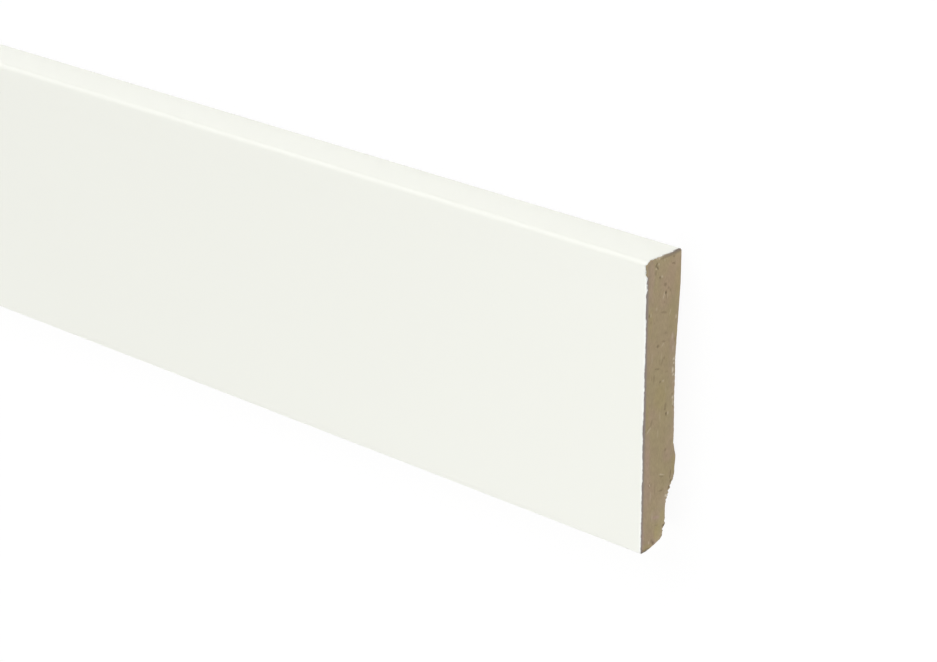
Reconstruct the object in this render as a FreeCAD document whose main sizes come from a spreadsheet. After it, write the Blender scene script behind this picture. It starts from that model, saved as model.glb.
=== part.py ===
import FreeCAD, Part
import os
import Sketcher

# A length of skirting board: one moulded MDF section with a white finish, 12 mm thick and 70 mm high.
# It lies on its back, as it would unheld on a level floor, with the finished face up.
# X runs along the length. Y runs up the board, from the sole that meets the floor to the top edge.
# Z runs through the thickness, from the wall side at 0 to the room side.
# The origin is the centre of the footprint, on the floor. All sizes are millimetres.

NODE = "skirting_board"
SHEET = "Sizes"

SIZES = [
    ("board_length", 2400.0, "length as sold"),
    ("board_height", 70.0, "from the sole to the top edge"),
    ("board_thickness", 12.0, "from the wall to the finished face"),
    ("front_round_radius", 1.5, "rounded arris between the face and the top edge"),
    ("back_arris_radius", 0.5, "eased arris between the top edge and the back"),
    ("sole_arris_radius", 0.4, "eased arris between the face and the sole"),
    ("upper_land_height", 8.0, "flat strip of the back that touches the wall, at the top"),
    ("relief_depth", 1.2, "depth of the shallow hollow in the back"),
    ("relief_upper_ramp", 18.0, "height over which the hollow fades out below the upper land"),
    ("relief_lower_ramp", 4.0, "height over which the hollow fades out above the lower land"),
    ("lower_land_height", 3.6, "flat strip of the back that touches the wall, above the cable rebate"),
    ("rebate_ramp_height", 6.2, "height of the rebate's sloping shoulder"),
    ("rebate_depth", 3.5, "depth of the cable rebate from the wall side"),
    ("rebate_floor_height", 5.8, "height of the rebate's flat floor"),
    ("heel_height", 3.05, "height of the cut-back between the rebate and the sole"),
    ("sole_bevel_rise", 1.35, "how far the sole rises at its back"),
    ("sole_bevel_width", 4.7, "width of the sloping part of the sole"),
    ("sole_flat_width", 2.5, "width of the sole's flat strip, behind the face"),
    ("shoulder_blend_radius", 3.0, "radius where the rebate and the lower land meet their ramps"),
    ("heel_blend_radius", 0.8, "radius of the worn corners of the heel"),
]

# In the section's sketch, one direction runs up the board and the other through its thickness.
UP = "DistanceX"
THROUGH = "DistanceY"
WALL = "origin"  # the wall side, at mid-height
SECTION_LENGTHS = [
    # constraint, direction, from corner, to corner, size
    ("half_height", UP, "face_sole", WALL, "board_height / 2"),
    ("height", UP, "face_sole", "face_top", "board_height"),
    ("thickness", THROUGH, "back_top", "face_top", "board_thickness"),
    ("sole_flat", THROUGH, "sole_bevel_front", "face_sole", "sole_flat_width"),
    ("bevel_width", THROUGH, "sole_bevel_back", "sole_bevel_front", "sole_bevel_width"),
    ("bevel_rise", UP, "sole_bevel_front", "sole_bevel_back", "sole_bevel_rise"),
    ("heel", UP, "sole_bevel_back", "rebate_floor_low", "heel_height"),
    ("rebate_deep", THROUGH, WALL, "rebate_floor_low", "rebate_depth"),
    ("rebate_floor", UP, "rebate_floor_low", "rebate_floor_high", "rebate_floor_height"),
    ("rebate_ramp", UP, "rebate_floor_high", "lower_land_low", "rebate_ramp_height"),
    ("lower_land", UP, "lower_land_low", "lower_land_high", "lower_land_height"),
    ("lower_ramp", UP, "lower_land_high", "relief_floor_low", "relief_lower_ramp"),
    ("relief_deep", THROUGH, WALL, "relief_floor_low", "relief_depth"),
    ("upper_ramp", UP, "relief_floor_high", "upper_land_low", "relief_upper_ramp"),
    ("upper_land", UP, "upper_land_low", "back_top", "upper_land_height"),
]

# Where the section is rounded: feature, corners, radius
ROUNDINGS = [
    ("FrontRound", ["face_top"], "front_round_radius"),
    ("BackArris", ["back_top"], "back_arris_radius"),
    ("SoleArris", ["face_sole"], "sole_arris_radius"),
    (
        "Shoulders",
        ["rebate_floor_high", "lower_land_low", "lower_land_high", "relief_floor_low"],
        "shoulder_blend_radius",
    ),
    ("Heel", ["sole_bevel_back", "rebate_floor_low"], "heel_blend_radius"),
]

SAME_PLACE = 1e-4  # two points this close are one corner


def make_sheet(doc):
    sheet = doc.addObject("Spreadsheet::Sheet", SHEET)
    for row, (alias, value, meaning) in enumerate(SIZES, start=1):
        sheet.set(f"A{row}", alias)
        sheet.set(f"B{row}", str(value))
        sheet.set(f"C{row}", meaning)
        sheet.setAlias(f"B{row}", alias)
    doc.recompute()
    return sheet


def section_corners(sheet):
    """The section's corners as (up the board, through the thickness), in order round the outline."""
    half = sheet.board_height / 2
    face = sheet.board_thickness
    sole_back = -half + sheet.sole_bevel_rise
    rebate_low = sole_back + sheet.heel_height
    rebate_high = rebate_low + sheet.rebate_floor_height
    land_low = rebate_high + sheet.rebate_ramp_height
    land_high = land_low + sheet.lower_land_height
    relief_low = land_high + sheet.relief_lower_ramp
    upper_land = half - sheet.upper_land_height
    relief_high = upper_land - sheet.relief_upper_ramp
    bevel_front = face - sheet.sole_flat_width
    return {
        "face_sole": (-half, face),
        "sole_bevel_front": (-half, bevel_front),
        "sole_bevel_back": (sole_back, bevel_front - sheet.sole_bevel_width),
        "rebate_floor_low": (rebate_low, sheet.rebate_depth),
        "rebate_floor_high": (rebate_high, sheet.rebate_depth),
        "lower_land_low": (land_low, 0.0),
        "lower_land_high": (land_high, 0.0),
        "relief_floor_low": (relief_low, sheet.relief_depth),
        "relief_floor_high": (relief_high, sheet.relief_depth),
        "upper_land_low": (upper_land, 0.0),
        "back_top": (half, 0.0),
        "face_top": (half, face),
    }


def draw_section(sketch, corners):
    """Straight lines from corner to corner, with every length tied to the sheet."""
    names = list(corners)
    points = [FreeCAD.Vector(up, through, 0) for up, through in corners.values()]
    line = {}  # the line that starts at each corner
    for index, name in enumerate(names):
        following = points[(index + 1) % len(points)]
        line[name] = sketch.addGeometry(Part.LineSegment(points[index], following), False)
    for index, name in enumerate(names):
        following = names[(index + 1) % len(names)]
        sketch.addConstraint(Sketcher.Constraint("Coincident", line[name], 2, line[following], 1))

    for name in ("face_sole", "back_top"):  # the sole's flat strip and the top edge
        sketch.addConstraint(Sketcher.Constraint("Vertical", line[name]))
    for name in ("rebate_floor_low", "lower_land_low", "relief_floor_low", "upper_land_low", "face_top"):
        sketch.addConstraint(Sketcher.Constraint("Horizontal", line[name]))
    for name in ("lower_land_low", "upper_land_low"):  # both lands lie against the wall
        sketch.addConstraint(Sketcher.Constraint("PointOnObject", line[name], 1, -1))

    place = {**corners, WALL: (0.0, 0.0)}
    handle = {name: (index, 1) for name, index in line.items()}
    handle[WALL] = (-1, 1)
    for label, direction, start, end, size in SECTION_LENGTHS:
        way = 0 if direction == UP else 1
        length = abs(place[end][way] - place[start][way])
        sizing = Sketcher.Constraint(direction, *handle[start], *handle[end], length)
        index = sketch.addConstraint(sizing)
        sketch.renameConstraint(index, label)
        sketch.setExpression(f"Constraints.{label}", f"{SHEET}.{size}")


def edges_along(shape, places):
    """Names of the edges that run along the board at the given corners of the section."""
    found = []
    for index, edge in enumerate(shape.Edges, start=1):
        start, end = edge.Vertexes[0].Point, edge.Vertexes[-1].Point
        if abs(start.x - end.x) < SAME_PLACE:
            continue
        for up, through in places:
            if abs(start.y - up) < SAME_PLACE and abs(start.z - through) < SAME_PLACE:
                found.append(f"Edge{index}")
    return found


def make_board(doc, sheet):
    body = doc.addObject("PartDesign::Body", "Board")
    body.Label = NODE
    corners = section_corners(sheet)

    section = body.newObject("Sketcher::SketchObject", "Section")
    across = next(plane for plane in body.Origin.OriginFeatures if plane.Role == "YZ_Plane")
    section.AttachmentSupport = [(across, "")]
    section.MapMode = "FlatFace"
    draw_section(section, corners)
    doc.recompute()

    moulding = body.newObject("PartDesign::Pad", "Moulding")
    moulding.Profile = section
    moulding.SideType = "Symmetric"
    moulding.setExpression("Length", f"{SHEET}.board_length")
    doc.recompute()

    shaped = moulding
    for label, names, radius in ROUNDINGS:
        rounding = body.newObject("PartDesign::Fillet", label)
        rounding.Base = (shaped, edges_along(shaped.Shape, [corners[name] for name in names]))
        rounding.setExpression("Radius", f"{SHEET}.{radius}")
        doc.recompute()
        shaped = rounding
    body.Tip = shaped
    doc.recompute()
    return body


def check(doc, body):
    failed = [thing.Label for thing in doc.Objects if {"Invalid", "Error"} & set(thing.State)]
    if failed:
        raise RuntimeError(f"features that failed: {failed}")
    if body.Shape.isNull() or not body.Shape.isValid():
        raise RuntimeError(f"{body.Label} has no valid shape")
    if len(body.Shape.Solids) != 1:
        raise RuntimeError(f"{body.Label} is {len(body.Shape.Solids)} solids, and the real board is one")


doc = FreeCAD.newDocument("SkirtingBoard")
sheet = make_sheet(doc)
board = make_board(doc, sheet)
check(doc, board)

os.makedirs("parts", exist_ok=True)
board.Shape.exportStep(os.path.join("parts", f"{board.Label}.step"))

box = board.Shape.BoundBox
volume = board.Shape.Volume / 1000
print(f"{board.Label}: {box.XLength:.1f} x {box.YLength:.1f} x {box.ZLength:.1f} mm, {volume:.1f} cm3")
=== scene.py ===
import math
import random
import bmesh
import bpy
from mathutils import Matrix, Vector


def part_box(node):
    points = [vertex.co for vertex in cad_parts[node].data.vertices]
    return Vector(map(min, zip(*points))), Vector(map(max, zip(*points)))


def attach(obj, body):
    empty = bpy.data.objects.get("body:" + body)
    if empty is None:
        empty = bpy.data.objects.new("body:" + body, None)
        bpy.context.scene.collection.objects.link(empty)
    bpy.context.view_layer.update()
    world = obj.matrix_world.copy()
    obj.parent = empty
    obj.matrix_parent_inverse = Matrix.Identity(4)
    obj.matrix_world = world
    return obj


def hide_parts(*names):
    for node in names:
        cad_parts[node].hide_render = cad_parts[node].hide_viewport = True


# A length of white skirting board, lying on its back with its sawn end to the camera.
# X runs along the board, Y up it from sole to top edge, Z out of the finished face.

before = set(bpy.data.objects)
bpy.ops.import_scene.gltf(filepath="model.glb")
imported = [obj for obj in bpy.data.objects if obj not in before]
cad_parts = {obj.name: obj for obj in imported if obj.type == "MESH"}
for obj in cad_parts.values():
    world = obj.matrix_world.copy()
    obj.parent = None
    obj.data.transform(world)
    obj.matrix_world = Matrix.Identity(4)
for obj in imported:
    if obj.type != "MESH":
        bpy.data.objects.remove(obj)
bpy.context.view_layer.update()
boardLow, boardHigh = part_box("skirting_board")
mm = 0.001


# Materials

def hexColour(text):  # sRGB hex to the linear values that a shader takes
    steps = [int(text[i:i + 2], 16) / 255 for i in (1, 3, 5)]
    linear = [s / 12.92 if s <= 0.04045 else ((s + 0.055) / 1.055) ** 2.4 for s in steps]
    return (*linear, 1.0)


def addNode(tree, kind, inputs=None, **settings):
    added = tree.nodes.new("ShaderNode" + kind)
    for name, value in settings.items():
        setattr(added, name, value)
    for name, value in (inputs or {}).items():
        if isinstance(value, bpy.types.NodeSocket):
            tree.links.new(value, added.inputs[name])
        else:
            added.inputs[name].default_value = value
    return added


def newMaterial(name):
    material = bpy.data.materials.new(name)
    material.use_nodes = True
    material.node_tree.nodes.clear()
    return material, material.node_tree


lacquer = {
    "colour": "#EEEFE7",       # warm off-white, a touch green, as the face reads in even light
    "lipHighlightColour": "#FDFEFA",    # a painted highlight: the finish's rim at the saw cut is painted whiter, as an edge that catches the light
    "lipHighlightStart": 0.45 * mm,     # the painted highlight starts this far from the cut, and is in full from the next value on
    "lipHighlightFull": 0.27 * mm,
    "roughness": 0.37,
    "sheenChange": 0.03,
    "sheenRange": (0.3, 0.7),  # the noise's values between which the sheen changes
    "ior": 1.5,
    "peelSize": 1.1 * mm,      # spacing of the faint orange peel that a sprayed coat dries with
    "peelHeight": 0.004 * mm,
    "driftSize": 60 * mm,      # slow change of sheen along the board
    "wornColour": "#7E7165",   # grime and bare fibre on the edge of the cut
}


def satinLacquer():
    # Factory lacquer, sprayed and cured: an even off-white with a soft sheen, brightest on the round.
    material, tree = newMaterial("satinLacquer")
    place = addNode(tree, "TexCoord").outputs["Object"]
    peel = addNode(tree, "TexNoise", {"Vector": place, "Scale": 1 / lacquer["peelSize"], "Detail": 2.0})
    drift = addNode(tree, "TexNoise", {"Vector": place, "Scale": 1 / lacquer["driftSize"], "Detail": 3.0})
    sheen = addNode(tree, "MapRange", {
        "Value": drift.outputs["Fac"],
        "From Min": lacquer["sheenRange"][0], "From Max": lacquer["sheenRange"][1],
        "To Min": lacquer["roughness"] - lacquer["sheenChange"],
        "To Max": lacquer["roughness"] + lacquer["sheenChange"]})
    along = addNode(tree, "SeparateXYZ", {"Vector": place}).outputs["X"]
    fromMiddle = addNode(tree, "Math", {0: along}, operation="ABSOLUTE").outputs[0]
    # painted highlight: whiter along the finish's cut rim
    lipHighlight = addNode(tree, "MapRange", {
        "Value": fromMiddle, "From Min": boardHigh.x - lacquer["lipHighlightStart"],
        "From Max": boardHigh.x - lacquer["lipHighlightFull"]})
    colour = addNode(tree, "Mix", {
        0: lipHighlight.outputs["Result"], 6: hexColour(lacquer["colour"]),
        7: hexColour(lacquer["lipHighlightColour"])}, data_type="RGBA")
    tone = addNode(tree, "Attribute", attribute_name="paintedShadeAndGrime").outputs["Fac"]
    wornShare = addNode(tree, "MapRange", {"Value": tone, "From Min": 0.0, "From Max": -1.0})
    worn = addNode(tree, "Mix", {
        0: wornShare.outputs["Result"], 6: colour.outputs[2],
        7: hexColour(lacquer["wornColour"])}, data_type="RGBA")
    bump = addNode(tree, "Bump", {
        "Height": peel.outputs["Fac"], "Distance": lacquer["peelHeight"], "Strength": 1.0})
    shader = addNode(tree, "BsdfPrincipled", {
        "Base Color": worn.outputs[2], "Roughness": sheen.outputs["Result"], "IOR": lacquer["ior"],
        "Normal": bump.outputs["Normal"]})
    addNode(tree, "OutputMaterial", {"Surface": shader.outputs["BSDF"]})
    return material


fibreboard = {
    "colour": "#AE9C7C",       # sawn MDF, tan
    "olive": "#AD9D7A",
    "pink": "#B19C80",
    "oliveStain": "#AD9E6C",
    "pinkStain": "#B49C88",
    "skinColour": "#948982",   # the pressed, resin-rich layer under the finish
    # painted shade of the saw's pits and painted highlights of fibres that stand up, partly the fibres' own
    # tone
    "darkFibreAndPitShade": "#75684C",
    "paleFibreAndHighlight": "#E6DAC2",
    "skinDepth": 1.0 * mm,
    "skinFull": 0.5,           # share of its depth at which it is darkest
    "skinTop": (0.05, 0.75),   # its share under the top edge, near the face and near the back
    "skinTopReach": (4 * mm, 8 * mm),  # behind the face, between which that share grows
    "skinTopFade": (0.8, 0.2),         # shares of its depth between which it darkens there
    "skinAtRound": 0.1,        # it hardly shows beside the round, over this height
    "skinRoundHeight": 3.4 * mm,
    "skinRoundFade": 0.4 * mm,
    "fibreWidth": 0.3 * mm,    # through the board; single fibres are finer than this
    "fibreLength": 1.0 * mm,
    "fibreContrast": 0.065,
    "fibreRange": (0.36, 0.64),  # each range holds the noise's values between which the tone changes
    "patchSize": 9.0 * mm,
    "patchRange": (0.38, 0.62),
    "streakLength": 90 * mm,
    "streakWidth": 0.9 * mm,
    "streakContrast": 0.05,
    "paintedLightAtFace": 0.925,       # painted light: darker towards the face and lighter towards the back, evening out the floor's shade on the sawn end near the back
    "paintedLightAtBack": 1.06,
    "paintedLightNearBack": 0.1,           # painted light: lighter still in the last couple of millimetres before the back, against the shade where the board meets the floor
    "paintedLightNearBackDepth": (0.66 * mm, 2.2 * mm),
    "clumpSize": 2.0 * mm,     # fibres gather in soft clumps
    "clumpContrast": 0.03,
    "softRange": (0.35, 0.65),  # of clumps and streaks
    "sawnFacing": (0.3, 0.6),  # how squarely a face looks along the board, from the back to a sawn end
    "bumpHeight": 0.06 * mm,
    "bumpStrength": 0.6,
    "roughness": 0.85,
    "ior": 1.45,
}


def sawnFibreboard(finishThickness):
    # Medium-density fibreboard, sawn and milled: matt tan, short fibres lying flat in the board.
    material, tree = newMaterial("sawnFibreboard")
    place = addNode(tree, "TexCoord").outputs["Object"]
    # the fibres lie in the plane of the board, so the pattern is longer along X and Y than through Z
    flat = 1 / fibreboard["fibreLength"]
    fine = 1 / fibreboard["fibreWidth"]
    felted = addNode(tree, "Mapping", {"Vector": place, "Scale": (flat, flat, fine)})
    fibre = addNode(tree, "TexNoise", {
        "Vector": felted.outputs["Vector"], "Scale": 1.0, "Detail": 3.0, "Roughness": 0.6})
    patch = addNode(tree, "TexNoise", {
        "Vector": place, "Scale": 1 / fibreboard["patchSize"], "Detail": 2.0})
    tint = addNode(tree, "ValToRGB", {"Fac": patch.outputs["Fac"]})
    ramp = tint.color_ramp
    ramp.elements[0].position = fibreboard["patchRange"][0]
    ramp.elements[0].color = hexColour(fibreboard["olive"])
    ramp.elements[1].position = fibreboard["patchRange"][1]
    ramp.elements[1].color = hexColour(fibreboard["pink"])
    middle = ramp.elements.new(0.5)
    middle.color = hexColour(fibreboard["colour"])
    # resin that soaked in unevenly leaves pinkish and olive stains
    stain = addNode(tree, "Attribute", attribute_name="resinStain").outputs["Fac"]
    pinkShare = addNode(tree, "MapRange", {"Value": stain, "From Min": 0.0, "From Max": -1.0})
    oliveShare = addNode(tree, "MapRange", {"Value": stain, "From Min": 0.0, "From Max": 1.0})
    pinker = addNode(tree, "Mix", {
        0: pinkShare.outputs["Result"], 6: tint.outputs["Color"],
        7: hexColour(fibreboard["pinkStain"])}, data_type="RGBA")
    stained = addNode(tree, "Mix", {
        0: oliveShare.outputs["Result"], 6: pinker.outputs[2],
        7: hexColour(fibreboard["oliveStain"])}, data_type="RGBA")
    grain = addNode(tree, "MapRange", {
        "Value": fibre.outputs["Fac"],
        "From Min": fibreboard["fibreRange"][0], "From Max": fibreboard["fibreRange"][1],
        "To Min": 1 - fibreboard["fibreContrast"], "To Max": 1 + fibreboard["fibreContrast"]})
    split = addNode(tree, "SeparateXYZ", {"Vector": place})
    # painted light: the colour is lightened towards the back, where the floor's shade falls on the sawn end
    paintedLightThrough = addNode(tree, "MapRange", {
        "Value": split.outputs["Z"], "From Min": boardLow.z, "From Max": boardHigh.z,
        "To Min": fibreboard["paintedLightAtBack"], "To Max": fibreboard["paintedLightAtFace"]})
    # painted light: lighter still close to the back
    lightenedNearBack = addNode(tree, "MapRange", {
        "Value": split.outputs["Z"], "From Min": fibreboard["paintedLightNearBackDepth"][0],
        "From Max": fibreboard["paintedLightNearBackDepth"][1], "To Min": 1 + fibreboard["paintedLightNearBack"], "To Max": 1.0})
    clump = addNode(tree, "TexNoise", {
        "Vector": place, "Scale": 1 / fibreboard["clumpSize"], "Detail": 1.0})
    clumpTone = addNode(tree, "MapRange", {
        "Value": clump.outputs["Fac"],
        "From Min": fibreboard["softRange"][0], "From Max": fibreboard["softRange"][1],
        "To Min": 1 - fibreboard["clumpContrast"], "To Max": 1 + fibreboard["clumpContrast"]})
    # the moulder's cutters leave faint streaks along the back, and none on the sawn ends
    drawn = addNode(tree, "Mapping", {"Vector": place, "Scale": (
        1 / fibreboard["streakLength"], 1 / fibreboard["streakWidth"], 1 / fibreboard["streakWidth"])})
    streak = addNode(tree, "TexNoise", {"Vector": drawn.outputs["Vector"], "Scale": 1.0, "Detail": 2.0})
    streakTone = addNode(tree, "MapRange", {
        "Value": streak.outputs["Fac"],
        "From Min": fibreboard["softRange"][0], "From Max": fibreboard["softRange"][1],
        "To Min": 1 - fibreboard["streakContrast"], "To Max": 1 + fibreboard["streakContrast"]})
    looks = addNode(tree, "SeparateXYZ", {"Vector": addNode(tree, "TexCoord").outputs["Normal"]})
    sawnShare = addNode(tree, "Math", {0: looks.outputs["X"]}, operation="ABSOLUTE")
    onBack = addNode(tree, "MapRange", {
        "Value": sawnShare.outputs[0],
        "From Min": fibreboard["sawnFacing"][0], "From Max": fibreboard["sawnFacing"][1],
        "To Min": streakTone.outputs["Result"], "To Max": 1.0})
    level = grain.outputs["Result"]
    for share in (paintedLightThrough, lightenedNearBack, clumpTone, onBack):
        product = addNode(tree, "Math", {0: level, 1: share.outputs["Result"]}, operation="MULTIPLY")
        level = product.outputs[0]
    toned = addNode(tree, "VectorMath", {0: stained.outputs[2], "Scale": level}, operation="SCALE")
    # marks of the saw: single fibres pulled out; the dark ones are painted shade in the pits left, the
    # light ones painted highlights where a fibre stands up, each partly the fibres' own tone
    tone = addNode(tree, "Attribute", attribute_name="paintedShadeAndGrime").outputs["Fac"]
    pitShadeShare = addNode(tree, "MapRange", {"Value": tone, "From Min": 0.0, "From Max": -1.0})
    fibreHighlightShare = addNode(tree, "MapRange", {"Value": tone, "From Min": 0.0, "From Max": 1.0})
    pitShaded = addNode(tree, "Mix", {
        0: pitShadeShare.outputs["Result"], 6: toned.outputs["Vector"],
        7: hexColour(fibreboard["darkFibreAndPitShade"])}, data_type="RGBA")
    fibreLit = addNode(tree, "Mix", {
        0: fibreHighlightShare.outputs["Result"], 6: pitShaded.outputs[2],
        7: hexColour(fibreboard["paleFibreAndHighlight"])}, data_type="RGBA")
    # the pressed skin shows on the sawn end as a dark line just under the finish
    skinStart = fibreboard["skinDepth"] + finishThickness
    underFace = addNode(tree, "MapRange", {
        "Value": split.outputs["Z"], "From Min": boardHigh.z - skinStart,
        "From Max": boardHigh.z - fibreboard["skinFull"] * skinStart})
    besideRound = addNode(tree, "MapRange", {
        "Value": split.outputs["Y"], "To Min": 1.0, "To Max": fibreboard["skinAtRound"],
        "From Min": boardHigh.y - fibreboard["skinRoundHeight"] - fibreboard["skinRoundFade"],
        "From Max": boardHigh.y - fibreboard["skinRoundHeight"]})
    alongFace = addNode(tree, "Math", {0: underFace.outputs["Result"], 1: besideRound.outputs["Result"]},
                        operation="MULTIPLY")
    underTop = addNode(tree, "MapRange", {
        "Value": split.outputs["Y"], "From Min": boardHigh.y - fibreboard["skinTopFade"][0] * skinStart,
        "From Max": boardHigh.y - fibreboard["skinTopFade"][1] * skinStart})
    towardsBack = addNode(tree, "MapRange", {
        "Value": split.outputs["Z"],
        "From Min": boardHigh.z - fibreboard["skinTopReach"][0],
        "From Max": boardHigh.z - fibreboard["skinTopReach"][1],
        "To Min": fibreboard["skinTop"][0], "To Max": fibreboard["skinTop"][1]})
    faint = addNode(tree, "Math", {0: underTop.outputs["Result"], 1: towardsBack.outputs["Result"]},
                    operation="MULTIPLY")
    skin = addNode(tree, "Math", {0: alongFace.outputs[0], 1: faint.outputs[0]}, operation="MAXIMUM")
    colour = addNode(tree, "Mix", {
        0: skin.outputs[0], 6: fibreLit.outputs[2], 7: hexColour(fibreboard["skinColour"])},
        data_type="RGBA")
    bump = addNode(tree, "Bump", {
        "Height": fibre.outputs["Fac"], "Distance": fibreboard["bumpHeight"],
        "Strength": fibreboard["bumpStrength"]})
    shader = addNode(tree, "BsdfPrincipled", {
        "Base Color": colour.outputs[2], "Roughness": fibreboard["roughness"], "IOR": fibreboard["ior"],
        "Normal": bump.outputs["Normal"]})
    addNode(tree, "OutputMaterial", {"Surface": shader.outputs["BSDF"]})
    return material


# Modelling

def startFrom(name, low, high):  # a cube that fills the box, left in edit mode
    bpy.ops.object.select_all(action="DESELECT")
    bpy.ops.mesh.primitive_cube_add(size=1, calc_uvs=False, location=(low + high) / 2, scale=high - low)
    piece = bpy.context.object
    piece.name = name
    piece.data.name = name
    bpy.ops.object.transform_apply(location=True, rotation=True, scale=True)
    bpy.ops.object.mode_set(mode="EDIT")
    return piece


def pick(kind, rule):  # selects what the rule accepts, and nothing else
    bpy.ops.mesh.select_mode(type=kind)
    bpy.ops.mesh.select_all(action="DESELECT")
    edit = bmesh.from_edit_mesh(bpy.context.object.data)
    elements = {"VERT": edit.verts, "EDGE": edit.edges, "FACE": edit.faces}[kind]
    for element in elements:
        if not element.hide and rule(element):
            element.select_set(True)
    bmesh.update_edit_mesh(bpy.context.object.data)


def sliceAt(place, normal):
    bpy.ops.mesh.select_all(action="SELECT")
    bpy.ops.mesh.bisect(plane_co=place, plane_no=normal)


section = {  # the moulding, in mm; the sole is at 0 and the top edge at the board's height
    "frontRound": 1.5,
    "backArris": 0.5,
    "soleArris": 0.4,
    "upperLand": 8.0,
    "reliefDepth": 1.2,
    "reliefUpperRamp": 18.0,
    "reliefLowerRamp": 4.0,
    "lowerLand": 3.6,
    "rebateRamp": 6.2,
    "rebateDepth": 3.5,
    "rebateFloor": 5.8,
    "heel": 3.05,
    "soleBevelRise": 1.35,
    "soleBevelWidth": 4.7,
    "soleFlat": 2.5,
    "shoulderBlend": 3.0,
    "heelBlend": 0.8,
}
finishThickness = 0.12 * mm
sameSpot = 0.001 * mm


def backCorners():  # (up the board, off the wall) from the sole to the top edge, in metres
    up = section["soleBevelRise"]
    corners = [(up, boardHigh.z / mm - section["soleFlat"] - section["soleBevelWidth"])]
    steps = [("heel", "rebateDepth"), ("rebateFloor", "rebateDepth"), ("rebateRamp", None),
             ("lowerLand", None), ("reliefLowerRamp", "reliefDepth")]
    for step, depth in steps:
        up += section[step]
        corners.append((up, section[depth] if depth else 0.0))
    top = (boardHigh.y - boardLow.y) / mm - section["upperLand"]
    corners.append((top - section["reliefUpperRamp"], section["reliefDepth"]))
    corners.append((top, 0.0))
    return [(boardLow.y + up * mm, off * mm) for up, off in corners]


def roundAlong(corners, radius, segments):  # rounds the edges that run along the board at these corners
    def runsAlong(edge):
        a, b = edge.verts[0].co, edge.verts[1].co
        if abs(a.y - b.y) > sameSpot or abs(a.z - b.z) > sameSpot:
            return False
        return any(abs(a.y - y) < sameSpot and abs(a.z - z) < sameSpot for y, z in corners)
    pick("EDGE", runsAlong)
    edit = bmesh.from_edit_mesh(bpy.context.object.data)
    turns = [e.calc_face_angle() for e in edit.edges if e.select]
    setBack = radius * math.tan(max(turns) / 2)  # from the corner to where the round starts
    bpy.ops.mesh.bevel(offset=setBack, segments=segments, profile=0.5, affect="EDGES",
                       clamp_overlap=False)


def mouldSection(name, inset):  # the moulded board; inset is how far its coated sides lie under the finish
    low = Vector((boardLow.x, boardLow.y + inset, boardLow.z))
    high = Vector((boardHigh.x, boardHigh.y - inset, boardHigh.z - inset))
    piece = startFrom(name, low, high)
    corners = backCorners()
    for y, off in corners:
        sliceAt((0, y, 0), (0, 1, 0))
    for y, off in corners:
        pick("VERT", lambda v: abs(v.co.y - y) < sameSpot and v.co.z < sameSpot)
        bpy.ops.transform.translate(value=(0, 0, off))
    # the flat strip of sole is wider under the finish, as it meets the bevel higher up
    bevelSlope = section["soleBevelWidth"] / section["soleBevelRise"]
    soleOff = boardHigh.z - section["soleFlat"] * mm - inset * bevelSlope
    pick("VERT", lambda v: abs(v.co.y - low.y) < sameSpot and v.co.z < sameSpot)
    bpy.ops.transform.translate(value=(0, 0, soleOff))

    heelOut, heelIn, rebateEnd, landStart, landEnd, reliefStart = corners[:6]
    for edges, radius, segments in (
            ([(high.y, high.z)], section["frontRound"] * mm - inset, 8),
            ([(high.y, low.z)], section["backArris"] * mm, 3),
            ([(low.y, high.z)], section["soleArris"] * mm, 3),
            ([rebateEnd, landStart], section["shoulderBlend"] * mm, 4),
            ([landEnd, reliefStart], section["shoulderBlend"] * mm, 4),
            ([heelIn], section["heelBlend"] * mm, 3),
            ([heelOut], section["heelBlend"] * mm, 3)):
        roundAlong(edges, radius, segments)
    return piece


ends = {
    "cutsFromEnd": (0.15, 0.35, 0.6, 1.0, 1.6, 2.6),  # mm, slices that let the edge of the cut break up
    "depth": 4.0 * mm,           # how far the fine mesh reaches along the board
    "joinDepth": 8.0 * mm,       # by here it has joined the long, plain faces
    "pitchThrough": 0.2 * mm,
    "pitchUp": 0.25 * mm,
    "fineUpTo": 17.5 * mm,       # the torn shoulder and heel lie below this height
    "coreBehind": 0.1 * mm,      # the finish stands proud of the sawn fibres
    "sawnWithin": 0.13 * mm,     # of the cut lies the sawn face, apart from its pits
    "sawGrain": 0.5 * mm,
    "sawRoughness": 0.07 * mm,
    "pitDepth": 0.2 * mm,        # of a saw mark at its darkest
    "fibreHeight": 0.06 * mm,    # and of a fibre that stands up
    "paintReach": 0.6 * mm,      # how far along the board the marks' tones reach
    "paleRim": 0.14,             # the sawn end is painted paler along the back's outline
    "paleReach": 3.2 * mm,
    "smoothUpTo": 35,            # degrees; a sharper edge stays an edge
}


def meshTheEnds(fineBack=False):  # slices both ends finely, through the board and up it
    for step in (*ends["cutsFromEnd"], ends["depth"] / mm, ends["joinDepth"] / mm):
        for side in (-1, 1):
            sliceAt((side * (boardHigh.x - step * mm), 0, 0), (1, 0, 0))
    pick("FACE", lambda f: abs(f.calc_center_median().x) > boardHigh.x - ends["depth"])
    bpy.ops.mesh.hide(unselected=True)
    for axis, start, stop, pitch in ((2, boardLow.z, boardHigh.z, ends["pitchThrough"]),
                                     (1, boardLow.y, boardHigh.y, ends["pitchUp"])):
        count = round((stop - start) / pitch)
        for step in range(1, count):
            spot, normal = [0, 0, 0], [0, 0, 0]
            spot[axis] = start + (stop - start) * step / count
            normal[axis] = 1
            sliceAt(spot, normal)
    if fineBack:  # half the pitch, up to where fibres are torn
        for step in range(round(ends["fineUpTo"] / ends["pitchUp"])):
            sliceAt((0, boardLow.y + (step + 0.5) * ends["pitchUp"], 0), (0, 1, 0))
    bpy.ops.mesh.reveal(select=False)


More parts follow.
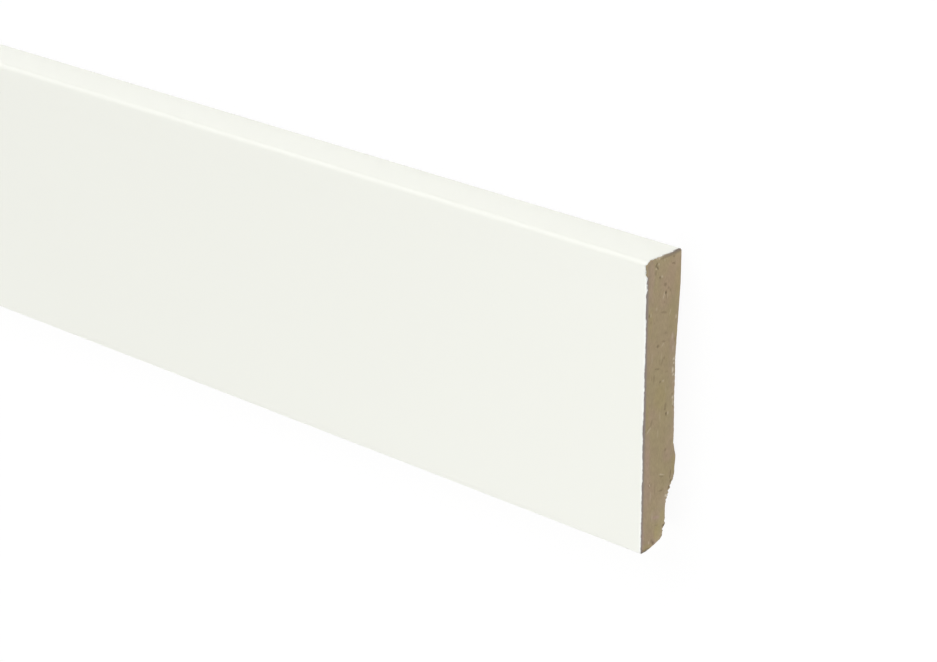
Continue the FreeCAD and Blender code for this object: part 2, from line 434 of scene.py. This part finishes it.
# Where a baked copy's texture holds each side of a piece, as shares of its height
layouts = {
    "mdfBoard": {"nearEnd": 0.2, "farEnd": 0.2, "back": 0.3, "front": 0.1, "top": 0.06, "sole": 0.08},
    "whiteFinish": {"nearEnd": 0.12, "farEnd": 0.12, "front": 0.34, "top": 0.15, "sole": 0.08,
                    "back": 0.05, "innerTop": 0.03, "innerSole": 0.03},
}
layoutGap = 0.01
endsWidth = 0.1     # share of the texture's width for the last few millimetres of each end
facesAlong = 0.7    # a face that looks further along the board than this is part of an end
facesWall = 0.2     # and one that looks further towards the wall than this belongs to the bare back


def sideOf(face):  # which way a face looks; the finish's hidden side counts apart
    normal, middle = face.normal, face.center
    if abs(normal.x) > facesAlong:
        return "nearEnd" if middle.x > 0 else "farEnd"
    if abs(normal.z) >= abs(normal.y):
        return "front" if normal.z > 0 else "back"
    edge = "top" if middle.y > 0 else "sole"
    return edge if normal.y * middle.y > 0 else "inner" + edge.capitalize()


def alongTexture(x):  # 0 to 1 along the board, drawn out at both ends
    inner = boardHigh.x - ends["depth"]
    if abs(x) <= inner:
        return 0.5 + (0.5 - endsWidth) * x / inner
    return 0.5 + math.copysign(0.5 - endsWidth + endsWidth * (abs(x) - inner) / ends["depth"], x)


def layOut(piece):  # gives the piece the map that its patterns are baked through
    start, bands = layoutGap, {}
    for side, share in layouts[piece.name].items():
        bands[side] = (start, start + share)
        start += share + layoutGap
    layer = piece.data.uv_layers.new(name="OFBake")
    size = boardHigh - boardLow
    for face in piece.data.polygons:
        side = sideOf(face)
        low, high = bands[side]
        for corner in face.loop_indices:
            spot = piece.data.vertices[piece.data.loops[corner].vertex_index].co - boardLow
            across = spot.y / size.y if side.endswith("End") else alongTexture(spot.x + boardLow.x)
            up = spot.y / size.y if side in ("front", "back") else spot.z / size.z
            layer.data[corner].uv = (layoutGap + (1 - 2 * layoutGap) * across, low + (high - low) * up)


# Marks of the saw on the near end: (mm behind the face, mm above the sole, long, wide, lean, tone).
# They lean from upright in degrees towards the back. Tone runs from -1, a pit with painted shade, to 1, a
# fibre standing up with a painted highlight.
sawMarks = [
    (3.4, 68.4, 1.3, 0.4, 32, -0.81), (3.8, 67.6, 1.2, 0.4, -38, -0.72), (4.2, 68.4, 0.5, 0.35, 0, 0.69),
    (3.3, 67.5, 0.4, 0.3, 0, 0.52), (9.3, 67.22, 0.35, 1.3, 16, -0.72), (3.2, 66.6, 1.5, 0.35, 4, -0.54),
    (4.7, 65.1, 0.7, 0.6, 0, -0.72), (5.4, 65.2, 0.6, 0.5, 0, 0.44), (6.6, 63.0, 0.9, 1.1, 20, -0.45),
    (7.8, 61.9, 0.6, 0.5, 0, -0.45), (8.5, 61.2, 0.6, 0.5, 0, -0.36), (6.9, 61.0, 0.9, 0.6, 0, -0.90),
    (6.2, 60.5, 1.8, 0.35, 18, 0.36), (7.5, 60.2, 1.6, 0.4, 10, 0.14), (7.0, 59.9, 1.4, 0.4, 0, -0.36),
    (6.5, 58.9, 0.5, 0.5, 0, -0.36), (3.8, 58.0, 0.9, 0.5, 0, 0.22), (6.2, 56.6, 0.5, 2.2, 16, -0.45),
    (1.3, 57.0, 0.9, 0.35, 0, -0.72), (1.8, 57.1, 0.9, 0.3, 0, 0.52), (10.7, 54.3, 1.0, 0.4, 0, 0.60),
    (2.0, 55.4, 0.7, 0.5, 0, -0.36), (3.1, 54.8, 0.6, 0.5, 0, -0.27), (8.6, 56.0, 1.6, 0.35, 14, 0.25),
    (4.6, 49.0, 0.7, 0.9, 0, -0.72), (6.6, 49.6, 0.4, 1.6, 16, -0.45), (6.3, 49.0, 1.4, 0.35, 40, 0.26),
    (9.6, 50.0, 1.6, 0.5, 6, 0.34), (10.5, 48.9, 1.3, 0.35, 0, -0.36), (7.3, 51.4, 0.4, 1.5, 16, -0.27),
    (6.9, 45.6, 0.5, 0.5, 0, -0.45), (5.4, 44.9, 1.8, 0.35, -10, -0.36), (6.2, 44.8, 1.9, 0.35, 14, -0.45),
    (5.9, 46.2, 1.9, 0.3, 4, 0.16), (4.6, 43.6, 0.35, 2.2, 16, -0.54), (2.6, 46.7, 2.4, 0.3, 0, 0.25),
    (3.5, 41.7, 1.9, 0.35, 2, -0.54), (2.7, 42.0, 1.6, 0.3, 0, -0.27), (5.7, 40.2, 0.6, 0.6, 0, -0.72),
    (6.7, 40.2, 0.5, 0.7, 16, 0.34), (7.9, 42.0, 0.5, 1.0, 16, -0.27), (7.7, 37.8, 2.0, 0.35, 0, 0.14),
    (7.8, 33.8, 1.6, 0.5, 4, -0.45), (7.6, 33.0, 0.5, 0.7, 16, -0.45), (8.1, 31.8, 0.8, 0.5, 0, -0.90),
    (8.7, 31.8, 0.9, 0.4, 0, 0.44), (2.9, 31.1, 1.7, 0.4, 14, -0.45), (2.1, 29.6, 2.0, 0.45, 52, 0.26),
    (5.9, 31.6, 2.2, 0.3, -4, 0.17), (5.3, 27.9, 2.4, 0.35, 0, 0.15), (0.9, 29.7, 0.6, 0.5, -30, -0.45),
    (0.8, 25.9, 0.9, 0.4, 0, -0.45), (7.6, 26.3, 1.6, 0.35, 0, -0.18), (8.2, 23.0, 0.7, 0.8, 0, -0.45),
    (7.1, 16.75, 0.3, 1.9, 20, -0.40), (2.9, 16.6, 0.3, 0.7, 16, -0.45), (2.5, 16.0, 0.9, 0.3, 0, -0.45),
    (3.3, 16.0, 0.9, 0.3, 0, -0.45), (2.9, 15.4, 0.3, 0.6, 16, -0.36), (2.9, 16.0, 0.5, 0.4, 0, 0.44),
    (3.2, 13.0, 2.6, 0.35, 2, 0.25), (2.4, 13.2, 2.6, 0.3, 0, -0.18), (7.4, 13.4, 0.9, 0.9, 0, -0.27),
    (6.7, 13.4, 0.4, 1.2, 10, -0.45), (4.7, 14.5, 3.2, 0.5, 0, -0.27), (10.3, 16.6, 1.6, 0.4, 0, -0.45),
    (4.0, 8.0, 3.0, 0.4, 0, 0.17), (5.6, 5.2, 0.35, 1.4, 16, -0.27), (8.2, 4.3, 0.6, 1.0, 16, -0.70),
    (8.1, 3.1, 0.8, 0.6, 0, -0.70), (7.7, 1.9, 0.9, 0.5, 30, -0.45), (3.1, 1.7, 1.0, 0.5, -10, 0.34),
    (4.6, 1.3, 0.8, 0.5, 0, -0.54), (0.8, 0.35, 0.7, 0.8, 0, -0.50), (10.3, 38.9, 1.0, 0.35, 0, 0.30),
    (10.3, 69.6, 0.8, 3.0, 0, -0.45), (9.9, 47.2, 1.2, 0.4, 0, 0.34), (10.25, 44.4, 0.6, 0.55, 0, 1.00),
    (10.35, 43.35, 0.6, 0.5, 0, 1.00), (10.0, 41.8, 1.5, 0.55, 0, 1.00), (10.25, 40.6, 0.6, 0.6, 0, 1.00),
    (10.5, 42.6, 1.2, 0.3, 0, -0.40), (10.1, 36.0, 0.5, 0.5, 0, -0.60), (10.25, 35.1, 0.8, 0.5, 0, 0.90),
    (10.3, 33.8, 1.4, 0.4, 0, 0.50), (10.5, 32.9, 0.6, 0.35, 0, -0.60), (10.3, 14.6, 0.8, 0.5, 25, -0.80),
    (9.8, 13.2, 0.9, 0.6, 25, -0.80), (10.1, 15.7, 0.9, 0.4, 10, -0.40), (7.0, 17.3, 0.25, 2.3, 20, 0.40),
    (8.9, 11.5, 0.7, 1.1, 16, 1.00), (6.9, 69.4, 0.7, 4.6, 0, -0.40), (4.0, 1.8, 1.0, 0.6, -10, -0.45),
    (4.7, 0.9, 0.6, 1.2, 30, -0.40), (1.8, 30.2, 1.6, 0.3, 58, -0.34), (2.3, 0.3, 0.5, 2.4, 0, -0.50),
    (9.4, 68.8, 0.5, 0.8, 0, -0.45), (6.2, 69.0, 0.9, 0.35, 0, 0.40), (6.9, 69.1, 0.7, 0.35, 0, 0.25),
    (4.35, 69.7, 0.5, 0.9, 0, 0.55), (3.5, 69.65, 0.4, 0.6, 0, 0.30), (5.1, 69.85, 0.35, 0.7, 0, 0.45),
    (1.0, 64.8, 4.0, 1.2, 0, -0.18), (2.8, 2.6, 5.0, 4.6, 0, -0.10),
]

# Stains on the near end, written as the marks are: below 0 pinkish, above 0 olive.
resinStains = [
    (1.6, 66.0, 9.0, 2.6, 0, -0.60), (1.7, 60.5, 5.0, 2.4, 0, -0.30), (11.4, 62.6, 9.0, 3.2, 0, 0.36),
    (1.7, 55.7, 8.0, 1.6, 0, 0.36), (6.3, 52.5, 13.0, 4.5, 0, -0.21), (9.8, 54.2, 8.0, 3.0, 0, 0.21),
    (9.6, 48.6, 5.0, 2.0, 0, -0.42), (11.0, 50.0, 5.0, 1.4, 0, 0.42), (9.9, 44.8, 8.0, 3.0, 0, -0.24),
    (5.7, 36.4, 6.5, 4.5, 0, 0.30), (11.0, 31.4, 7.0, 1.6, 0, -0.30), (1.5, 33.3, 8.0, 1.4, 0, 0.30),
    (1.7, 24.6, 9.0, 2.0, 0, -0.60), (1.9, 17.0, 13.0, 2.2, 0, -0.54), (8.9, 21.6, 3.6, 3.6, 0, -0.36),
    (11.2, 18.4, 5.0, 1.6, 0, 0.54), (5.1, 7.7, 3.4, 3.6, 0, -0.42), (5.5, 7.2, 0.9, 2.8, 16, -0.60),
    (7.8, 6.6, 4.0, 2.0, 0, 0.48), (6.2, 3.2, 4.6, 2.8, 0, 0.60), (2.6, 0.5, 2.0, 4.0, 20, 0.54),
    (5.0, 1.2, 1.2, 2.4, 40, -0.36), (1.0, 3.4, 6.0, 0.9, 0, -0.80),
]

# Grime on the finish's own cut edge, along the top edge, at the sole and beside the round
wornFinish = [
    (10.8, 69.9, 0.9, 3.3, 0, -0.9), (8.2, 69.9, 0.5, 1.0, 0, -0.4), (6.2, 69.9, 0.5, 1.5, 0, -0.5),
    (3.4, 69.9, 0.5, 2.6, 0, -0.35), (1.3, 0.05, 0.6, 2.8, 0, -0.9), (0.1, 68.4, 0.9, 0.8, 0, -0.5),
    (0.1, 67.55, 0.4, 0.8, 0, -0.6),
]

# Fibres torn along the back of the near end: (mm above the sole, mm wide, mm proud, below 0 for a notch)
tornFibres = [
    (39.0, 8.0, 0.15), (27.0, 8.0, 0.33), (18.2, 2.4, -0.25), (17.0, 1.6, -0.28), (14.8, 0.5, 0.25),
    (13.5, 0.3, -0.12), (12.95, 0.35, 0.24), (12.45, 0.4, -0.36), (11.9, 0.25, 0.25), (11.6, 0.2, -0.2),
    (11.15, 0.3, 0.35), (10.3, 1.9, 0.3), (7.4, 3.6, 0.2), (6.1, 0.5, 0.17), (5.3, 0.3, -0.12),
    (4.5, 0.65, 0.48), (3.5, 0.4, -0.38), (2.95, 0.3, 0.2), (2.45, 0.35, 0.27), (1.7, 0.9, 0.6),
    (0.6, 0.8, 0.7),
]

# The far end's marks and stains are scattered at random, with widths, lengths and tones in these ranges
farMarks = {"count": 70, "wides": (0.25, 0.45), "longs": (0.5, 2.0), "tones": (-0.7, 0.45)}
farStains = {"count": 20, "wides": (2, 4), "longs": (4, 9), "tones": (-0.5, 0.5)}
scatter = {"uprightShare": 0.75, "behind": (1, 10.5), "above": (4, 68), "leans": (-20, 20)}


def scatteredMarks(count, wides, longs, tones):
    draw = random.Random(count)
    marks = []
    for _ in range(count):
        long, wide = draw.uniform(*longs), draw.uniform(*wides)
        if draw.random() >= scatter["uprightShare"]:
            long, wide = wide, long
        marks.append((draw.uniform(*scatter["behind"]), draw.uniform(*scatter["above"]), long, wide,
                      draw.uniform(*scatter["leans"]), draw.uniform(*tones)))
    return marks


markPeak = 1.3     # a mark's strength in its middle, where all over 1 counts as 1
markFall = 0.9     # how much less it is at the rim, outside which it fades away
cutAbove = 0.45    # the strength from which a mark is cut into the mesh


def strengthOfMark(mark, y, z):
    behind, above, long, wide, lean, tone = mark
    up = y - boardLow.y - above * mm
    back = boardHigh.z - z - behind * mm
    turn = math.radians(lean)
    along = (up * math.cos(turn) + back * math.sin(turn)) / (long * mm / 2)
    across = (back * math.cos(turn) - up * math.sin(turn)) / (wide * mm / 2)
    return max(0.0, markPeak - markFall * (along * along + across * across))


def cutTheMarks(side, marks):  # sinks the dark ones into the sawn end and lifts the pale ones
    pick("VERT", lambda v: v.co.x * side > boardHigh.x - sameSpot)
    bpy.ops.transform.translate(value=(-side * ends["coreBehind"], 0, 0))
    bpy.ops.mesh.hide(unselected=True)
    for mark in marks:
        tone = mark[-1]
        most = ends["pitDepth"] if tone < 0 else ends["fibreHeight"]
        pick("VERT", lambda v: strengthOfMark(mark, v.co.y, v.co.z) > cutAbove)
        bpy.ops.transform.translate(value=(side * most * tone, 0, 0))
    bpy.ops.mesh.reveal(select=False)


def noGround(co):
    return 0.0


# Writes the marks, on top of what the ground gives each spot, as an attribute that the material reads
def paintTheEnds(piece, name, marksBySide, reach, ground=noGround):
    bpy.ops.geometry.attribute_add(name=name, domain="POINT", data_type="FLOAT")
    tones = piece.data.attributes[name].data
    for vertex in piece.data.vertices:
        side = 1 if vertex.co.x > 0 else -1
        if abs(vertex.co.x) < boardHigh.x - reach:
            continue
        total = ground(vertex.co)
        for mark in marksBySide[side]:
            if abs(vertex.co.y - boardLow.y - mark[1] * mm) < max(mark[2], mark[3]) * mm:
                total += mark[-1] * min(1.0, strengthOfMark(mark, vertex.co.y, vertex.co.z))
        tones[vertex.index].value = max(-1.0, min(1.0, total))


def groupOf(piece, name, weigh):  # a vertex group with the weight that the rule gives each vertex
    group = piece.vertex_groups.new(name=name)
    for vertex in piece.data.vertices:
        weight = weigh(vertex.co)
        if weight > 0:
            group.add([vertex.index], min(1.0, weight), "REPLACE")
    return name


def grainTexture(name, size, contrast=1.0, brightness=1.0):
    texture = bpy.data.textures.new(name, "CLOUDS")
    texture.noise_scale = size
    texture.noise_depth = 2
    texture.contrast = contrast
    texture.intensity = brightness
    texture.use_clamp = True
    return texture


def finishMesh(piece, material):
    bpy.ops.mesh.select_all(action="SELECT")
    bpy.ops.mesh.normals_make_consistent(inside=False)
    bpy.ops.object.mode_set(mode="OBJECT")
    piece.data.materials.append(material)
    bpy.ops.object.shade_smooth_by_angle(angle=math.radians(ends["smoothUpTo"]))


def apply(piece, kind, **settings):
    modifier = piece.modifiers.new(kind.lower(), kind)
    for name, value in settings.items():
        setattr(modifier, name, value)
    bpy.ops.object.modifier_apply(modifier=modifier.name)


def nearCut(co, reach):  # 1 at the saw cut, 0 from that reach inwards
    return max(0.0, 1 - (boardHigh.x - abs(co.x)) / reach)


def offWall(y):  # how far the back stands off the wall at this height, before its corners are rounded
    corners = [(boardLow.y, boardHigh.z - section["soleFlat"] * mm), *backCorners()]
    for (y0, z0), (y1, z1) in zip(corners, corners[1:]):
        if y0 <= y <= y1:
            return z0 + (z1 - z0) * (y - y0) / (y1 - y0)
    return 0.0


tearing = {
    "reach": 1.2 * mm,           # along the board from the cut, and inwards from the back
    "mostTorn": [(9.5, 16.5, 1.0), (0.9, 5.2, 0.8)],  # mm above the sole and share: the shoulder, the heel
    "elsewhere": 0.3,
    "grain": 0.3 * mm,
    "contrast": 2.4,
    "depth": 0.55 * mm,          # of the random tearing
    "listedDepth": 0.7 * mm,     # the most that a fibre in the list stands out
    "wallGap": 0.2 * mm,         # the lands lie flat on the wall, so nothing is torn at random this near it
    "wallFade": 0.6 * mm,
}


def nearBack(co, reach):  # 1 on the back's outline, 0 from that reach inwards
    return max(0.0, 1 - max(0.0, co.z - offWall(co.y)) / reach)


def nearBoth(co):
    return nearBack(co, tearing["reach"]) * nearCut(co, tearing["reach"])


def paleRim(co):
    return ends["paleRim"] * nearBack(co, ends["paleReach"])


def ragged(co):  # where the milling left fibres standing
    up = (co.y - boardLow.y) / mm
    share = tearing["elsewhere"]
    for start, stop, most in tearing["mostTorn"]:
        if start < up < stop:
            share = most
    clear = min(1.0, max(0.0, co.z - tearing["wallGap"]) / tearing["wallFade"])
    return clear * share * nearBoth(co)


def torn(co, sign):  # the torn fibres or notches listed for the near end
    if co.x < 0:
        return 0.0
    up = (co.y - boardLow.y) / mm
    return sum(max(0.0, sign * proud) / tearing["listedDepth"] * mm * max(0.0, 1 - abs(up - above) / wide)
               for above, wide, proud in tornFibres) * nearBoth(co)


def makeCore():
    core = mouldSection("mdfBoard", finishThickness)
    meshTheEnds(fineBack=True)
    bpy.ops.object.mode_set(mode="OBJECT")
    layOut(core)
    bpy.ops.object.mode_set(mode="EDIT")
    marksBySide = {1: sawMarks, -1: scatteredMarks(**farMarks)}
    stainsBySide = {1: resinStains, -1: scatteredMarks(**farStains)}
    for side in (1, -1):
        cutTheMarks(side, marksBySide[side])
    finishMesh(core, sawnFibreboard(finishThickness))
    cut = boardHigh.x - ends["sawnWithin"]
    sawn = groupOf(core, "sawn", lambda co: 1.0 if abs(co.x) > cut else 0.0)
    apply(core, "DISPLACE", texture=grainTexture("sawGrain", ends["sawGrain"]), texture_coords="LOCAL",
          mid_level=1.0, strength=ends["sawRoughness"], vertex_group=sawn)
    rough = groupOf(core, "rough", ragged)
    apply(core, "DISPLACE", texture=grainTexture("tornGrain", tearing["grain"], tearing["contrast"]),
          texture_coords="LOCAL", direction="Z", mid_level=0.5, strength=tearing["depth"],
          vertex_group=rough)
    for name, sign in (("teeth", 1), ("notches", -1)):
        group = groupOf(core, name, lambda co: torn(co, sign))
        apply(core, "DISPLACE", direction="Z", mid_level=0.0, strength=-sign * tearing["listedDepth"],
              vertex_group=group)
    core.vertex_groups.clear()
    paintTheEnds(core, "paintedShadeAndGrime", marksBySide, ends["paintReach"], paleRim)
    paintTheEnds(core, "resinStain", stainsBySide, ends["paintReach"])
    print("core", len(core.data.polygons), "faces")
    return core


# Where the saw broke the finish back from the cut: (from, to, mm back), up the face from the sole in mm
brokenFace = [(66.4, 70.6, 0.28), (63.5, 66.5, 0.07), (56.5, 63, 0.14), (40, 46, 0.1), (33, 40, 0.08),
              (22.5, 33, 0.12), (28.3, 31.8, 0.1), (10.5, 18, 0.08)]
# and along the top edge, in mm behind the face
brokenTop = [(0.6, 2.2, 0.27), (2.0, 4.6, 0.08), (3.8, 5.0, 0.2), (4.6, 7.4, 0.12), (6.1, 7.3, 0.28),
             (2.6, 9.0, 0.11), (9.8, 11.7, 0.15)]
# The rim that is left is flaked from inside: (from, to, share) in mm below the top edge
flakedFace = [(3.2, 7.0, 0.5), (6.6, 9.3, 0.05)]
breaking = {
    "depth": 0.6 * mm,           # the most that the lists break the finish back
    "reach": 1.0 * mm,           # along the board
    "topAbove": 69.8,            # mm above the sole, from where the finish lies on the top edge
    "topBehind": 1,              # and mm behind the face
    "chipSize": 0.45 * mm,
    "chipDepth": 0.45 * mm,
    "chipLook": (3.0, 0.85),     # contrast and brightness of the chips' noise
    "round": (66.9, 69.3, 1.0),  # where it is chipped most, with its share
    "topShare": 0.8,
    "elsewhere": 0.3,
    "flakeSize": 0.4 * mm,
    "flakeLook": (2.2, 1.15),
    "flakeDepth": {"face": 0.6 * mm, "top": 0.3 * mm},
    "flakedFrom": {"face": 1.3 * mm, "top": 1.8 * mm},  # clear of the round
    "flakedLeast": 0.1,
    "sameLayer": 0.03 * mm,
    "paintReach": 0.5 * mm,
}


def strips(place, listed):  # what the list says at this place, faded over half a millimetre at each end
    return sum(value * max(0.0, min(1.0, 2 * (place - start), 2 * (stop - place)))
               for start, stop, value in listed)


def brokenBack(co):  # how far the saw broke the finish back here, as a share of the most
    up, behind = (co.y - boardLow.y) / mm, (boardHigh.z - co.z) / mm
    onTop = up > breaking["topAbove"] and behind > breaking["topBehind"]
    back = strips(behind, brokenTop) if onTop else strips(up, brokenFace)
    return back * mm / breaking["depth"] * nearCut(co, breaking["reach"])


def chipped(co):  # and how much its broken rim is chipped
    up = (co.y - boardLow.y) / mm
    start, stop, share = breaking["round"]
    if not start < up < stop:
        share = breaking["topShare"] if up > breaking["topAbove"] else breaking["elsewhere"]
    return share * nearCut(co, breaking["reach"])


def flaked(co, under):  # the cut rim's inner edge, under the face or under the top edge
    below, behind = boardHigh.y - co.y, boardHigh.z - co.z
    layer, past = (behind, below) if under == "face" else (below, behind)
    atCut = abs(co.x) >= boardHigh.x - sameSpot
    onInside = abs(layer - finishThickness) < breaking["sameLayer"]
    if not (atCut and onInside and past > breaking["flakedFrom"][under]):
        return 0.0
    return 1.0 if under == "top" else breaking["flakedLeast"] + strips(below / mm, flakedFace)


def makeFinish():
    finish = mouldSection("whiteFinish", 0.0)
    backTop = boardHigh.y - section["backArris"] * mm
    pick("FACE", lambda f: abs(f.normal.x) > facesAlong
         or (f.normal.z < -facesWall and f.calc_center_median().y < backTop))
    bpy.ops.mesh.delete(type="FACE")
    meshTheEnds()
    finishMesh(finish, satinLacquer())
    apply(finish, "SOLIDIFY", thickness=finishThickness, offset=-1, use_even_offset=True)
    layOut(finish)
    flakes = grainTexture("finishFlakes", breaking["flakeSize"], *breaking["flakeLook"])
    for under, direction in (("face", "Z"), ("top", "Y")):
        inner = groupOf(finish, under, lambda co: flaked(co, under))
        apply(finish, "DISPLACE", texture=flakes, texture_coords="LOCAL", direction=direction,
              mid_level=0.0, strength=-breaking["flakeDepth"][under], vertex_group=inner)
    chips = grainTexture("finishChips", breaking["chipSize"], *breaking["chipLook"])
    for side in (1, -1):
        broken = groupOf(finish, "broken", lambda co: brokenBack(co) if co.x * side > 0 else 0.0)
        apply(finish, "DISPLACE", direction="X", mid_level=0.0, strength=-side * breaking["depth"],
              vertex_group=broken)
        rim = groupOf(finish, "chipped", lambda co: chipped(co) if co.x * side > 0 else 0.0)
        apply(finish, "DISPLACE", texture=chips, texture_coords="LOCAL", direction="X", mid_level=0.0,
              strength=-side * breaking["chipDepth"], vertex_group=rim)
        finish.vertex_groups.clear()
    paintTheEnds(finish, "paintedShadeAndGrime", {1: wornFinish, -1: []}, breaking["paintReach"])
    print("finish", len(finish.data.polygons), "faces")
    return finish


core = makeCore()
finish = makeFinish()
for piece, slotName in ((core, "raw_mdf"), (finish, "white_finish")):
    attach(piece, "root")
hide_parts("skirting_board")
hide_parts("skirting_board")


# Floor, light and camera

studio = {
    "floorColour": "#F6F6F6",
    "floorSize": 60.0,
    "paperGlow": 0.92,         # share of the floor's picture that is plain white; the rest keeps the shadow
    "glowStrength": 1.02,
    "skyStrength": 0.205,
    "key": (1.95, (-0.38, 0.78, 0.5), 60),     # strength, from where, degrees across: over the top edge
    "fill": (1.08, (-0.30, -0.40, 0.87), 40),   # along the face, whose sheen brightens towards the near end
    "side": (0.85, (0.93, 0.03, 0.37), 40),     # on the sawn end
    "low": (0.7, (-0.45, -0.86, 0.24), 40),     # on the arris at the sole
}


def whiteToTheEye(tree):  # 1 for camera, mirror and see-through rays, which all see a plain white studio
    path = addNode(tree, "LightPath")
    first = addNode(tree, "Math", {0: path.outputs["Is Camera Ray"], 1: path.outputs["Is Glossy Ray"]},
                    operation="MAXIMUM")
    return addNode(tree, "Math", {0: first.outputs[0], 1: path.outputs["Is Transmission Ray"]},
                   operation="MAXIMUM").outputs[0]


def layFloor():
    bpy.ops.object.select_all(action="DESELECT")
    bpy.ops.mesh.primitive_plane_add(size=studio["floorSize"], location=(0, 0, boardLow.z))
    floor = bpy.context.object
    floor.name = "studioFloor"
    material, tree = newMaterial("seamlessPaper")  # matt white paper
    seen = whiteToTheEye(tree)
    share = addNode(tree, "Math", {0: seen, 1: studio["paperGlow"]}, operation="MULTIPLY")
    paper = addNode(tree, "BsdfDiffuse", {"Color": hexColour(studio["floorColour"])})
    glow = addNode(tree, "Emission", {"Color": (1, 1, 1, 1), "Strength": studio["glowStrength"]})
    mixed = addNode(tree, "MixShader", {
        0: share.outputs[0], 1: paper.outputs["BSDF"], 2: glow.outputs["Emission"]})
    addNode(tree, "OutputMaterial", {"Surface": mixed.outputs["Shader"]})
    floor.data.materials.append(material)


def lightStudio():
    world = bpy.data.worlds.new("studio")
    bpy.context.scene.world = world
    world.use_nodes = True
    tree = world.node_tree
    tree.nodes.clear()
    seen = whiteToTheEye(tree)
    level = addNode(tree, "MapRange", {"Value": seen, "To Min": studio["skyStrength"], "To Max": 1.0})
    sky = addNode(tree, "Background", {"Color": (1, 1, 1, 1), "Strength": level.outputs["Result"]})
    addNode(tree, "OutputWorld", {"Surface": sky.outputs["Background"]})
    for name in ("key", "fill", "side", "low"):
        bpy.ops.object.light_add(type="SUN", location=(0, 0, 2))
        lamp = bpy.context.object
        lamp.name = name + "Light"
        strength, direction, across = studio[name]
        lamp.data.energy = strength
        lamp.data.angle = math.radians(across)
        lamp.rotation_mode = "QUATERNION"
        lamp.rotation_quaternion = Vector(direction).to_track_quat("Z", "Y")


view = {
    "place": (1.5682, 0.2592, 0.4747),  # m
    "turn": (-22.143, 42.245),     # degrees about X, then Y
    "focalLength": 112.69,         # mm
    "sensorWidth": 36,             # mm
    "nearest": 0.01,               # m; nothing nearer to the lens is drawn
}


def placeCamera():
    bpy.ops.object.camera_add(location=view["place"])
    camera = bpy.context.object
    camera.name = "camera"
    camera.rotation_euler = (math.radians(view["turn"][0]), math.radians(view["turn"][1]), 0)
    camera.data.lens = view["focalLength"]
    camera.data.sensor_width = view["sensorWidth"]
    camera.data.clip_start = view["nearest"]
    bpy.context.scene.camera = camera


layFloor()
lightStudio()
placeCamera()
bpy.context.scene.view_settings.view_transform = "Standard"
print("studio ready")
